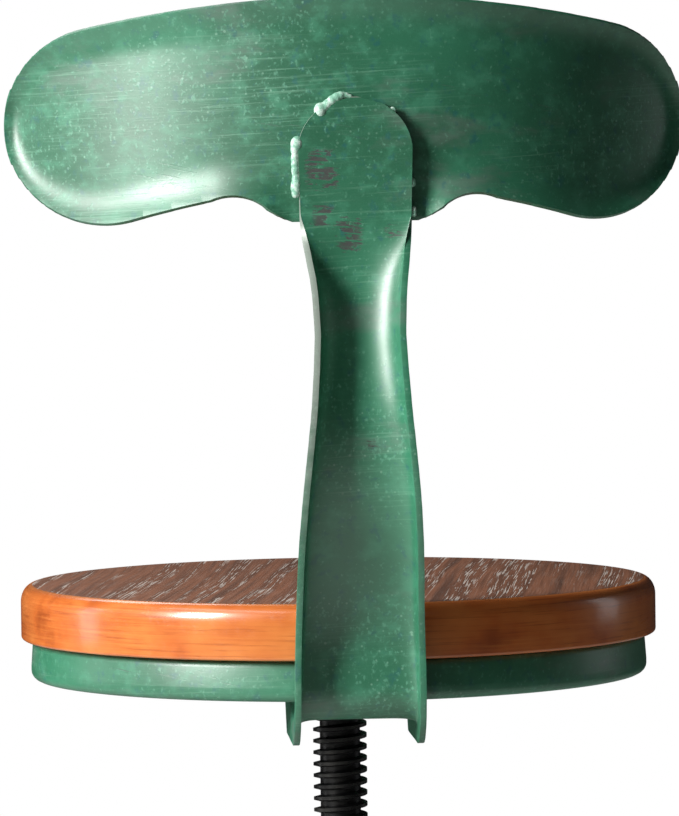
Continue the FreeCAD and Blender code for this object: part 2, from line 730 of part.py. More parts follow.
def make_backrest_plate():
    body = new_body("plate_outline")
    face = new_sketch(body, "XZ_Plane", "wing", "2 * plate_wall - tab_front")
    top = ("-plate_shoulder_place", "plate_shoulder_height",
           "plate_top_height - plate_shoulder_height")
    right = [("plate_shoulder_place", "plate_shoulder_height"),
             ("plate_hip_place", "plate_hip_height"),
             ("plate_notch_outer", "plate_notch_height", "-plate_notch_bulge"),
             ("plate_notch_inner", "plate_notch_height"),
             ("plate_tongue_width / 2", "plate_bottom_height")]
    left = [("-(%s)" % x, z) for x, z, *bulge in reversed(right[1:])]
    left[1] = left[1] + ("-plate_notch_bulge",)
    add_outline(face, [top] + right + left)
    pad(body, face, "wing_pad", "2 * plate_wall - tab_front", backwards=True)
    for side in (-1, 1):
        lobe = new_sketch(body, "XZ_Plane", "lobe_%d" % (side + 1), "2 * plate_wall - tab_front")
        add_circle(lobe, "plate_lobe_radius",
                   "%d * (plate_half_width - plate_lobe_radius)" % side, "plate_lobe_height")
        pad(body, lobe, "lobe_pad_%d" % (side + 1), "2 * plate_wall - tab_front", backwards=True)
    walls = []
    for name, radius in (("outer", "plate_outer_radius"),
                         ("inner", "plate_outer_radius - plate_wall")):
        wall = bore("plate_%s_wall" % name, radius, "0", "plate_centre",
                    "plate_bottom_height - 2 * plate_wall",
                    "plate_top_height - plate_bottom_height + 4 * plate_wall")
        walls.append(wall)
    sheet_metal = cut("plate_sheet", walls[0], [walls[1]])
    plate = doc.addObject("Part::Common", "backrest_plate")
    plate.Label = "backrest_plate"
    plate.Base = body
    plate.Tool = sheet_metal
    doc.recompute()
    return keep(plate)


def make_back_welds(spine, plate):
    """Short beads down both sides of the tab and over its top."""
    half = value("tab_width") / 2
    shoulder = value("tab_top_height") - half
    spots = [(side * half, shoulder - drop) for side in (-1, 1) for drop in (0, 12, 24)]
    spots += [(half * math.cos(math.radians(turn)), shoulder + half * math.sin(math.radians(turn)))
              for turn in (60, 80, 100, 120)]
    beads = []
    for index, (x, z) in enumerate(spots):
        bead = doc.addObject("Part::Sphere", "bead_%d" % index)
        set_size(bead, "Radius", "bead_radius")
        radius = value("plate_outer_radius")
        depth = value("plate_centre") - math.sqrt(radius ** 2 - x ** 2)
        bead.Placement.Base = Vector(x, depth - 0.4 * value("bead_radius"), z)
        beads.append(bead)
    row = doc.addObject("Part::MultiFuse", "bead_row")
    row.Shapes = beads
    return keep(cut("back_welds", row, [spine, plate]))


# ---- hub and bushes ----

def lock_tool():
    """The cross drilling for the bush lock screw, between two legs."""
    tool = doc.addObject("Part::Cylinder", "lock_drilling")
    set_size(tool, "Radius", "lock_screw_diameter / 2")
    set_size(tool, "Height", "hub_diameter")
    place = value("lock_screw_inset") * math.cos(math.radians(45))
    turn = FreeCAD.Rotation(Vector(0, 0, 1), Vector(1, 1, 0))
    tool.Placement = FreeCAD.Placement(Vector(place, place, value("lock_screw_height")), turn)
    return tool


def make_hub_tube(drilling):
    body = new_body("hub_blank")
    revolve(body, "tube", [
        ("hub_bore / 2", "hub_bottom"), ("hub_radius", "hub_bottom"),
        ("hub_radius", "hub_top_height"), ("hub_bore / 2", "hub_top_height")])
    return keep(cut("hub_tube", body, [drilling]))


def make_threaded_bush(drilling):
    body = new_body("bush_blank")
    revolve(body, "bush", [
        ("core_radius + thread_gap", "nut_bottom"), ("hub_bore / 2", "nut_bottom"),
        ("hub_bore / 2", "hub_top_height"), ("nut_flange_diameter / 2", "hub_top_height"),
        ("nut_flange_diameter / 2", "hub_top_height + nut_flange_thickness"),
        ("core_radius + thread_gap", "hub_top_height + nut_flange_thickness")])
    round_edges(body, "flange_edge", "1",
                ring_edge("nut_flange_diameter / 2", "hub_top_height + nut_flange_thickness"),
                "Chamfer")
    tooth = new_sketch(body, "XZ_Plane", "tooth")
    turns = "floor((nut_bottom - helix_foot) / thread_pitch - 1) * thread_pitch"
    start = "helix_foot + " + turns
    run = "thread_flank_run * (1 + thread_gap / (thread_depth + thread_root))"
    add_outline(tooth, [
        ("core_radius - thread_root", start + " - thread_gap"),
        ("thread_radius + thread_gap", start + " + " + run + " - thread_gap"),
        ("thread_radius + thread_gap", start + " + 2 * thread_flank_run + thread_crest"
         " - " + run + " + thread_gap"),
        ("core_radius - thread_root", start + " + 2 * thread_flank_run + thread_crest"
         " + thread_gap")])
    groove = body.newObject("PartDesign::SubtractiveHelix", "bush_thread")
    groove.Profile = tooth
    groove.ReferenceAxis = (origin_part(body, "Z_Axis"), [""])
    groove.Mode = "pitch-height-angle"
    set_size(groove, "Pitch", "thread_pitch")
    set_size(groove, "Height", "nut_length + nut_flange_thickness + 3 * thread_pitch")
    doc.recompute()
    return keep(cut("threaded_bush", body, [drilling]))


def make_guide_bush():
    body = new_body("guide_bush")
    bore_radius = "thread_radius + guide_gap"
    revolve(body, "bush", [
        (bore_radius, "hub_bottom - nut_flange_thickness"),
        ("nut_flange_diameter / 2", "hub_bottom - nut_flange_thickness"),
        ("nut_flange_diameter / 2", "hub_bottom"), ("hub_bore / 2", "hub_bottom"),
        ("hub_bore / 2", "hub_bottom + guide_length"), (bore_radius, "hub_bottom + guide_length")])
    return keep(body)


def make_bush_lock_screw():
    body = new_body("bush_lock_screw")
    shank = new_sketch(body, "XY_Plane", "shank")
    add_circle(shank, "lock_screw_diameter / 2")
    pad(body, shank, "shank_pad", "lock_screw_length")
    socket = new_sketch(body, "XY_Plane", "socket", "lock_screw_length")
    add_hexagon(socket, "lock_screw_socket")
    pocket(body, socket, "socket_cut", "lock_screw_socket_depth")
    place = value("lock_screw_inset") * math.cos(math.radians(45))
    turn = FreeCAD.Rotation(Vector(0, 0, 1), Vector(1, 1, 0))
    body.Placement = FreeCAD.Placement(Vector(place, place, value("lock_screw_height")), turn)
    return keep(body)


# ---- legs, feet and ring ----

LEGS = (("right", 0), ("front", 90), ("left", 180), ("back", 270))


def leg_frame():
    """Where a foot's own frame stands: on the leg's centre line, leaning inwards."""
    lean = math.degrees(math.atan(value("leg_slope")))
    turn = FreeCAD.Rotation(Vector(0, 1, 0), -lean)
    return FreeCAD.Placement(Vector(value("leg_foot_place"), 0, value("foot_sole")), turn)


def make_leg(name, turn, hub_tool):
    body = new_body("leg_%s_tube" % name)
    path = new_sketch(body, "XZ_Plane", "path")
    start = value("hub_radius") - 4
    top = value("leg_top_height")
    bend = value("leg_bend_radius")
    corner = Vector(value("leg_bend_place"), top, 0)
    foot = Vector(value("leg_foot_place"), value("foot_sole"), 0)
    down = (foot - corner).normalize()
    turned = math.atan2(-down.y, down.x)
    reach = bend * math.tan(turned / 2)
    level_end = Vector(corner.x - reach, top, 0)
    centre = Vector(level_end.x, top - bend, 0)
    level = path.addGeometry(Part.LineSegment(Vector(start, top, 0), level_end))
    circle = Part.Circle(centre, Vector(0, 0, 1), bend)
    arc = path.addGeometry(Part.ArcOfCircle(circle, math.pi / 2 - turned, math.pi / 2))
    slope = path.addGeometry(Part.LineSegment(corner + down * reach, foot))
    mark = path.addGeometry(Part.Point(corner), True)
    path.addConstraint(Sketcher.Constraint("Tangent", level, 2, arc, 2))
    path.addConstraint(Sketcher.Constraint("Tangent", arc, 1, slope, 1))
    pin_point(path, level, 1, "hub_radius - 4", "leg_top_height")
    path.addConstraint(Sketcher.Constraint("Horizontal", level))
    pin_point(path, mark, 1, "leg_bend_place", "leg_top_height")
    path.addConstraint(Sketcher.Constraint("PointOnObject", mark, 1, slope))
    index = path.addConstraint(Sketcher.Constraint("Radius", arc, bend))
    path.setExpression("Constraints[%d]" % index, bound("leg_bend_radius"))
    pin_point(path, slope, 2, "leg_foot_place", "foot_sole")
    wall = new_sketch(body, "YZ_Plane", "wall", "hub_radius - 4")
    add_circle(wall, "leg_radius", "0", "leg_top_height")
    add_circle(wall, "leg_radius - leg_wall", "0", "leg_top_height")
    tube = body.newObject("PartDesign::AdditivePipe", body.Name + "_sweep")
    tube.Profile = wall
    tube.Spine = (path, ["Edge1", "Edge2", "Edge3"])
    doc.recompute()
    placed(body, turn)
    return keep(cut("leg_" + name, body, [hub_tool]))


def make_foot(name, turn):
    body = new_body("foot_%s_boot" % name)
    low = "-3 * foot_sole"
    revolve(body, "boot", [
        ("0", low), ("foot_diameter / 2", low), ("foot_diameter / 2", "foot_length * 0.45"),
        ("leg_radius + leg_wall", "foot_length - foot_sole"),
        ("leg_radius", "foot_length - foot_sole"), ("leg_radius", "0"), ("0", "0")])
    spin = FreeCAD.Placement(Vector(), FreeCAD.Rotation(Vector(0, 0, 1), turn))
    body.Placement = spin.multiply(leg_frame())
    floor = doc.addObject("Part::Box", "below_floor_" + name)
    for side in ("Length", "Width"):
        set_size(floor, side, "4 * leg_foot_place")
    set_size(floor, "Height", "6 * foot_sole")
    set_size(floor, "Placement.Base.x", "-2 * leg_foot_place")
    set_size(floor, "Placement.Base.y", "-2 * leg_foot_place")
    set_size(floor, "Placement.Base.z", "-6 * foot_sole")
    return keep(cut("foot_" + name, body, [floor]))


def make_foot_ring():
    ring = doc.addObject("Part::Torus", "foot_ring")
    ring.Label = "foot_ring"
    set_size(ring, "Radius1", "ring_radius")
    set_size(ring, "Radius2", "ring_bar_radius")
    set_size(ring, "Placement.Base.z", "ring_height")
    doc.recompute()
    return keep(ring)


def leg_core(name, turn):
    """A solid bar where the sloping part of a leg is, to fit welds against."""
    tool = doc.addObject("Part::Cylinder", "leg_core_" + name)
    set_size(tool, "Radius", "leg_radius")
    tool.Height = value("ring_height") * 2
    spin = FreeCAD.Placement(Vector(), FreeCAD.Rotation(Vector(0, 0, 1), turn))
    tool.Placement = spin.multiply(leg_frame())
    return tool


def make_ring_welds(ring):
    beads = []
    for name, turn in LEGS:
        bead = doc.addObject("Part::Sphere", "ring_bead_" + name)
        set_size(bead, "Radius", "ring_bead_radius")
        place = value("leg_place_at_ring + leg_radius / leg_tilt_cosine")
        angle = math.radians(turn)
        bead.Placement.Base = Vector(place * math.cos(angle), place * math.sin(angle),
                                     value("ring_height"))
        beads.append(bead)
    row = doc.addObject("Part::MultiFuse", "ring_bead_row")
    row.Shapes = beads
    return keep(cut("ring_welds", row, [ring] + [leg_core(*leg) for leg in LEGS]))


def level_core(turn):
    """A solid bar through the level runs of two opposite legs."""
    tool = doc.addObject("Part::Cylinder", "level_core_%d" % turn)
    set_size(tool, "Radius", "leg_radius")
    tool.Height = 4 * value("gusset_reach")
    along = Vector(math.cos(math.radians(turn)), math.sin(math.radians(turn)), 0)
    spin = FreeCAD.Rotation(Vector(0, 0, 1), along)
    start = along * -2 * value("gusset_reach") + Vector(0, 0, value("leg_top_height"))
    tool.Placement = FreeCAD.Placement(start, spin)
    return tool


def make_hub_gussets(hub_tool, cores):
    body = new_body("gusset_blank")
    body.AllowCompound = True
    web = new_sketch(body, "XZ_Plane", "web")
    add_outline(web, [
        ("hub_radius - 2", "leg_top_height - leg_radius / 2"),
        ("hub_radius - 2", "leg_top_height - leg_radius - gusset_height"),
        ("hub_radius + 4", "leg_top_height - leg_radius - gusset_height"),
        ("gusset_reach", "leg_top_height - leg_radius - 4"),
        ("gusset_reach", "leg_top_height - leg_radius / 2")])
    plate = pad(body, web, "web_pad", "gusset_thickness", both_ways=True)
    polar(body, plate, "ring", 4)
    return keep(cut("hub_gussets", body, [hub_tool] + cores))


def make_leg_welds(hub_tool, cores, gussets):
    beads = []
    for name, turn in LEGS:
        bead = doc.addObject("Part::Torus", "leg_bead_" + name)
        set_size(bead, "Radius1", "leg_radius")
        set_size(bead, "Radius2", "leg_bead_radius")
        angle = math.radians(turn)
        along = Vector(math.cos(angle), math.sin(angle), 0)
        reach = value("sqrt(hub_radius ^ 2 - leg_radius ^ 2)")
        middle = along * (reach + 1.5) + Vector(0, 0, value("leg_top_height"))
        spin = FreeCAD.Rotation(Vector(0, 0, 1), along)
        seam = FreeCAD.Rotation(Vector(0, 0, 1), 15)
        bead.Placement = FreeCAD.Placement(middle, spin.multiply(seam))
        beads.append(bead)
    fitted = []
    for (name, turn), bead in zip(LEGS, beads):
        core = cores[(turn // 90) % 2]
        outside = cut("leg_bead_%s_at_hub" % name, bead, [hub_tool])
        around = cut("leg_bead_%s_at_leg" % name, outside, [core])
        fitted.append(cut("leg_bead_%s_at_gusset" % name, around, [gussets]))
    row = doc.addObject("Part::Compound", "leg_welds")
    row.Label = "leg_welds"
    row.Links = fitted
    doc.recompute()
    return keep(row)


def make_stand():
    drilling = lock_tool()
    make_hub_tube(drilling)
    make_threaded_bush(drilling)
    make_guide_bush()
    make_bush_lock_screw()
    hub_tool = bore("hub_solid", "hub_radius", "0", "0", "hub_bottom", "hub_length")
    cores = [level_core(0), level_core(90)]
    for name, turn in LEGS:
        make_leg(name, turn, hub_tool)
        make_foot(name, turn)
    gussets = make_hub_gussets(hub_tool, cores)
    make_leg_welds(hub_tool, cores, gussets)
    make_ring_welds(make_foot_ring())


def make_all():
    make_seat_board()
    make_seat_pan()
    make_board_screws()
    make_spindle()
    make_top_plate()
    make_spindle_weld()
    make_mount_fixings()
    make_arm_rivets()
    make_end_bolt()
    make_back_welds(make_back_spine(), make_backrest_plate())
    make_stop_washer()
    make_stand()


make_all()

for item in doc.Objects:
    bad = [state for state in item.State if state in ("Invalid", "Error")]
    if bad:
        raise RuntimeError("%s did not build: %s" % (item.Label, item.State))
for node in NODES:
    if node.Shape.isNull() or not node.Shape.isValid():
        raise RuntimeError("%s is not a valid shape" % node.Label)
for node in NODES:
    node.Shape.exportStep("parts/%s.step" % node.Label)
    box = node.Shape.BoundBox
    print(node.Label, len(node.Shape.Solids), round(node.Shape.Volume),
          [round(n, 1) for n in (box.XMin, box.XMax, box.YMin, box.YMax, box.ZMin, box.ZMax)])
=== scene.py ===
import json
import math
import random

import bmesh
import bpy
from mathutils import Matrix, Vector


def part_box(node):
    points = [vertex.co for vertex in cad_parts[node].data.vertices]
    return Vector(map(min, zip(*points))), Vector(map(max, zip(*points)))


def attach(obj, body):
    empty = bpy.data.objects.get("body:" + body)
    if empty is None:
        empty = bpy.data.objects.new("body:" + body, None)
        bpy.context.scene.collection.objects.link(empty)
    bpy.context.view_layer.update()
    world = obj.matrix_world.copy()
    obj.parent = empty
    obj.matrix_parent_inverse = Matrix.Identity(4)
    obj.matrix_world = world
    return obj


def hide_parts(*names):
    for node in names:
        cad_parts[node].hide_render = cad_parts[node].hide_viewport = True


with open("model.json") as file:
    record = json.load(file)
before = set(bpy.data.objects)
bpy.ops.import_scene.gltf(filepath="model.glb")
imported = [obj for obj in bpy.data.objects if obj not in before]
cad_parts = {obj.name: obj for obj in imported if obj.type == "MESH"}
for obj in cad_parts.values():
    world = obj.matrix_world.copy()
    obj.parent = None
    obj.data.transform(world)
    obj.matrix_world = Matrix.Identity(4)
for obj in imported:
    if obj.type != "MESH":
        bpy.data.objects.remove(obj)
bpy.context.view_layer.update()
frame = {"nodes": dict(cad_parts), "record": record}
nodes = frame["nodes"]
print("frame loaded:", len(nodes), "CAD nodes")


# camera, lights and floor

cameraSet = {
    "azimuth": -3.4,      # degrees; negative stands left of the stool's middle
    "distance": 3.3,      # from the screw's axis
    "height": 0.933,
    "pitch": 2.84,        # degrees below level
    "yaw": -0.035,        # extra turn to the right
    "roll": -0.75,
    "lens": 280.4,
}

lightSet = {
    # place, aim, size across, size up, power, colour
    "keyLeft": ((-2.27, -1.53, 1.86), (0, -0.1, 0.82), 0.72, 1.2, 156, (1, 0.99, 0.97)),
    "topLeft": ((-1.35, -0.85, 2.75), (0, -0.1, 0.7), 2.0, 0.40, 12, (1, 0.99, 0.98)),
    "sideLeft": ((-2.3, 0.5, 0.95), (0, -0.1, 0.8), 0.4, 1.4, 7, (1, 1, 1)),
    "fillFront": ((0.9, -2.7, 2.3), (0, 0, 0.7), 1.0, 1.0, 0.7, (0.95, 1, 0.98)),
    "rightBack": ((2.2, 0.7, 1.0), (0, 0, 0.7), 0.5, 1.2, 2.2, (0.95, 0.97, 1)),
    "topBack": ((-0.6, 1.5, 2.2), (0, 0, 0.7), 0.9, 0.6, 7, (1, 1, 1)),
}

studioSet = {
    "ambient": 0.015,      # what the white room adds to the lights
    "floorRadius": 2.2,
    "floorDrop": 0.0005,
}


def makeCamera(s):
    data = bpy.data.cameras.new("studioCamera")
    data.lens = s["lens"]
    data.sensor_width = 36
    data.clip_end = 50
    obj = bpy.data.objects.new("studioCamera", data)
    bpy.context.scene.collection.objects.link(obj)
    around = math.radians(s["azimuth"])
    place = Vector((math.sin(around), -math.cos(around), 0)) * s["distance"]
    place.z = s["height"]
    turn = Matrix.Rotation(around + math.radians(s["yaw"]), 4, "Z")
    turn @= Matrix.Rotation(math.radians(90 - s["pitch"]), 4, "X")
    turn @= Matrix.Rotation(math.radians(s["roll"]), 4, "Z")
    obj.matrix_world = Matrix.Translation(place) @ turn
    bpy.context.scene.camera = obj


def makeLight(name, place, aim, wide, high, power, colour):
    data = bpy.data.lights.new(name, "AREA")
    data.shape = "RECTANGLE"
    data.size = wide
    data.size_y = high
    data.energy = power
    data.color = colour
    obj = bpy.data.objects.new(name, data)
    bpy.context.scene.collection.objects.link(obj)
    facing = (Vector(aim) - Vector(place)).to_track_quat("-Z", "Y")
    obj.matrix_world = Matrix.Translation(place) @ facing.to_matrix().to_4x4()


def makeWorld(s):
    world = bpy.data.worlds.new("studio")
    bpy.context.scene.world = world
    world.use_nodes = True
    tree = world.node_tree
    room = tree.nodes["Background"]
    room.inputs["Color"].default_value = (1, 1, 1, 1)
    room.inputs["Strength"].default_value = s["ambient"]
    white = tree.nodes.new("ShaderNodeBackground")
    white.inputs["Color"].default_value = (1, 1, 1, 1)
    rays = tree.nodes.new("ShaderNodeLightPath")
    mix = tree.nodes.new("ShaderNodeMixShader")
    tree.links.new(rays.outputs["Is Camera Ray"], mix.inputs[0])
    tree.links.new(room.outputs[0], mix.inputs[1])
    tree.links.new(white.outputs[0], mix.inputs[2])
    tree.links.new(mix.outputs[0], tree.nodes["World Output"].inputs["Surface"])
    bpy.context.scene.view_settings.view_transform = "Standard"


makeCamera(cameraSet)
for name, facts in lightSet.items():
    makeLight(name, *facts)
makeWorld(studioSet)
print("camera and lights set")


# shader maths: a wire takes + - * / and becomes Math nodes

class Wire:
    def __init__(self, tree, socket):
        self.tree = tree
        self.socket = socket

    def maths(self, operation, *others):
        node = self.tree.nodes.new("ShaderNodeMath")
        node.operation = operation
        for slot, item in zip(node.inputs, (self,) + others):
            if isinstance(item, Wire):
                self.tree.links.new(item.socket, slot)
            else:
                slot.default_value = item
        return Wire(self.tree, node.outputs[0])

    def __add__(self, other):
        return self.maths("ADD", other)

    def __sub__(self, other):
        return self.maths("SUBTRACT", other)

    def __rsub__(self, other):
        return self.maths("MULTIPLY", -1.0) + other

    def __mul__(self, other):
        return self.maths("MULTIPLY", other)

    def __truediv__(self, other):
        return self.maths("DIVIDE", other)

    __radd__ = __add__
    __rmul__ = __mul__


class Finish:
    def __init__(self, name, **fixed):
        self.material = bpy.data.materials.new(name)
        self.material.use_nodes = True
        self.tree = self.material.node_tree
        self.shader = self.tree.nodes["Principled BSDF"]
        for key, item in fixed.items():
            self.shader.inputs[key.replace("_", " ")].default_value = item
        self.place = self.node("ShaderNodeTexCoord", output="Object")

    def node(self, kind, settings=None, values=None, output=0):
        made = self.tree.nodes.new(kind)
        for key, item in (settings or {}).items():
            if key == "stops":
                self.setStops(made.color_ramp, item)
            else:
                setattr(made, key, item)
        for key, item in (values or {}).items():
            if isinstance(item, Wire):
                self.tree.links.new(item.socket, made.inputs[key])
            else:
                made.inputs[key].default_value = item
        return Wire(self.tree, made.outputs[output])

    def setStops(self, ramp, stops):
        while len(ramp.elements) < len(stops):
            ramp.elements.new(0.5)
        for element, (spot, colour) in zip(ramp.elements, stops):
            element.position = spot
            element.color = (*colour, 1)

    def stretch(self, scale, turn=0, shift=(0, 0, 0), vector=None):
        values = {"Vector": vector or self.place, "Scale": scale, "Location": shift,
                  "Rotation": (0, 0, math.radians(turn))}
        return self.node("ShaderNodeMapping", None, values)

    def slant(self, degrees):
        # the object's own coordinates turned in the X-Z plane
        values = {"Vector": self.place, "Rotation": (0, math.radians(degrees), 0)}
        return self.node("ShaderNodeMapping", None, values)

    def cloud(self, vector, scale=1.0, detail=2.0, rough=0.5):
        values = {"Vector": vector, "Scale": scale, "Detail": detail, "Roughness": rough}
        return self.node("ShaderNodeTexNoise", None, values)

    def cells(self, scale, shift, output):
        vector = self.stretch((1, 1, 1), shift=shift)
        return self.node("ShaderNodeTexVoronoi", None, {"Vector": vector, "Scale": scale}, output)

    def axis(self, index, vector=None):
        return self.node("ShaderNodeSeparateXYZ", None, {0: vector or self.place}, index)

    def ease(self, wire, low, high):
        values = {"Value": wire, "From Min": low, "From Max": high}
        return self.node("ShaderNodeMapRange", {"interpolation_type": "SMOOTHSTEP"}, values)

    def blend(self, factor, first, second):
        ends = [item if isinstance(item, Wire) else (*item, 1) for item in (first, second)]
        values = {0: factor, 6: ends[0], 7: ends[1]}
        return self.node("ShaderNodeMix", {"data_type": "RGBA"}, values, 2)

    def ramp(self, wire, stops):
        return self.node("ShaderNodeValToRGB", {"stops": stops}, {0: wire})

    def specks(self, scale, radius, share, shift):
        # round flecks: cells of one size, only some of them filled
        distance = self.cells(scale, shift, "Distance")
        chance = self.node("ShaderNodeSeparateColor", None,
                           {0: self.cells(scale, shift, "Color")}, 0)
        size = radius * (0.5 + chance * 0.5 / (1 - share))
        spot = 1 - self.ease(distance / size, 0.55, 1.0)
        return spot * self.ease(1 - chance, share - 0.02, share)

    def box(self, low, high, soft):
        # a soft-edged patch in the X-Z plane
        patch = 1.0
        for index, (a, b) in ((0, (low[0], high[0])), (2, (low[1], high[1]))):
            along = self.axis(index)
            past = self.ease(along, b - soft, b + soft)
            patch = self.ease(along, a - soft, a + soft) * (1 - past) * patch
        return patch

    def bump(self, height, distance, strength=1.0):
        values = {"Height": height, "Distance": distance, "Strength": strength}
        return self.node("ShaderNodeBump", None, values)

    def feed(self, **inputs):
        for key, wire in inputs.items():
            self.tree.links.new(wire.socket, self.shader.inputs[key.replace("_", " ")])
        return self.material


# green paint on pressed steel

paintSet = {
    "deep": (0.017, 0.110, 0.056),
    "main": (0.027, 0.170, 0.091),
    "pale": (0.046, 0.232, 0.134),
    "smudge": (0.105, 0.150, 0.125),
    "mint": (0.140, 0.400, 0.270),
    "cream": (0.300, 0.520, 0.400),
    "teal": (0.010, 0.100, 0.105),
    "line": (0.140, 0.340, 0.225),
    "hairline": (0.045, 0.075, 0.068),
    "rubbed": (0.030, 0.018, 0.024),
    # edge: pale edge colour, partly worn bare steel, partly a painted highlight on the lit flange
    # edge
    "edge": (0.290, 0.310, 0.285),
    "steel": (0.210, 0.190, 0.170),
}


def greenPaint(name, marks=None, wear=0.0):
    s = paintSet
    f = Finish(name, Roughness=0.42, IOR=1.75)
    wide = f.cloud(f.place, 9, 3)
    blotch = f.cloud(f.stretch((85, 85, 105)), 1, 4, 0.62)
    fine = f.cloud(f.place, 620, 3, 0.6)
    colour = f.blend(f.ease(wide, 0.38, 0.62), s["deep"], s["main"])
    colour = f.blend(f.ease(blotch, 0.46, 0.70) * 0.6, colour, s["pale"])
    smudge = f.cloud(f.stretch((12, 12, 30), shift=(3, 1, 0)), 1, 5, 0.65)
    colour = f.blend(f.ease(smudge, 0.54, 0.70) * 0.6, colour, s["smudge"])
    teal = f.ease(f.cloud(f.stretch((170, 170, 150), shift=(1, 5, 2)), 1, 3, 0.6), 0.56, 0.74)
    colour = f.blend(teal * 0.6, colour, s["teal"])
    patches = f.ease(f.cloud(f.stretch((8, 8, 20), shift=(7, 0, 2)), 1, 2), 0.40, 0.62)
    brushed = f.cloud(f.stretch((24, 24, 1100), vector=f.slant(3)), 1, 4, 0.65)
    lines = f.ease(brushed, 0.52, 0.72) * patches
    colour = f.blend(lines * 0.42, colour, s["line"])
    scratch = f.cloud(f.stretch((40, 40, 1300), vector=f.slant(-11)), 1, 3, 0.6)
    scuffed = f.ease(f.cloud(f.stretch((19, 19, 30), shift=(0, 4, 9)), 1, 3), 0.50, 0.66)
    hairs = f.ease(scratch, 0.62, 0.72) * scuffed
    colour = f.blend(hairs * 0.5, colour, s["hairline"])
    crowd = f.ease(f.cloud(f.stretch((1, 1, 1), shift=(2, 9, 4)), 15, 3), 0.40, 0.64)
    flecks = f.cloud(f.stretch((520, 520, 430), shift=(4, 0, 3)), 1, 3, 0.55)
    mint = f.ease(flecks + crowd * 0.07, 0.60, 0.78)
    colour = f.blend(mint * 0.42, colour, s["mint"])
    dust = f.specks(260, 0.24, 0.24, (6, 2, 8)) * (0.12 + crowd * 0.88)
    colour = f.blend(dust * 0.32, colour, s["cream"])
    rough = 0.34 + blotch * 0.14 + lines * 0.08 + mint * 0.06
    height = fine * 0.2 + lines * 0.3 - hairs * 0.6 + mint * 0.3 + blotch * 0.5
    if marks:
        strokes = f.cloud(f.stretch((60, 60, 640), shift=(0, 2, 6), vector=f.slant(-4)), 1, 3, 0.6)
        ridge = 1 - f.ease((strokes - 0.5).maths("ABSOLUTE"), 0.010, 0.050)
        rub = 0.0
        for low, high, strength in marks:
            rub = f.box(low, high, 0.0040) * strength + rub
        broken = f.ease(f.cloud(f.stretch((160, 160, 260)), 1, 3, 0.6), 0.36, 0.54)
        drawn = ridge * 0.85 + f.ease(strokes, 0.48, 0.56) * 0.45
        rubbed = f.ease(rub * drawn * broken, 0.12, 0.42)
        colour = f.blend(rubbed * 0.85, colour, s["rubbed"])
        rough = rough + rubbed * 0.2
        height = height - rubbed * 0.8
    if wear:
        scuffs = f.cloud(f.place, 60, 5, 0.7) + f.cloud(f.place, 8, 2) * 0.6
        worn = f.ease(scuffs, 1.02 - wear, 1.14 - wear)
        colour = f.blend(worn, colour, s["steel"])
        rough = rough + worn * 0.08
    # pale edges from the rim attribute: wear, and a painted highlight on the upright's lit left
    # flange edge
    rim = f.node("ShaderNodeAttribute", {"attribute_name": "rim"}, None, 2)
    wornAndLitEdge = f.ease(rim + (blotch - 0.5) * 0.2, 0.72, 0.95)
    colour = f.blend(wornAndLitEdge * 0.75, colour, s["edge"])
    return f.feed(Base_Color=colour, Roughness=rough, Normal=f.bump(height, 0.00012, 0.6))


print("paint ready")


# dark brushed top and orange lacquered rim of the wooden board

woodSet = {
    "grainTurn": 8,         # degrees between the grain and the front-back line
    "topEdge": 0.1590,      # radius where the dark top stops
    "dark": (0.110, 0.044, 0.023),
    "brown": (0.290, 0.112, 0.056),
    "silver": (0.540, 0.470, 0.420),
    "orange": (0.520, 0.125, 0.024),
    "amber": (0.660, 0.215, 0.050),
    "burnt": (0.230, 0.042, 0.008),
}


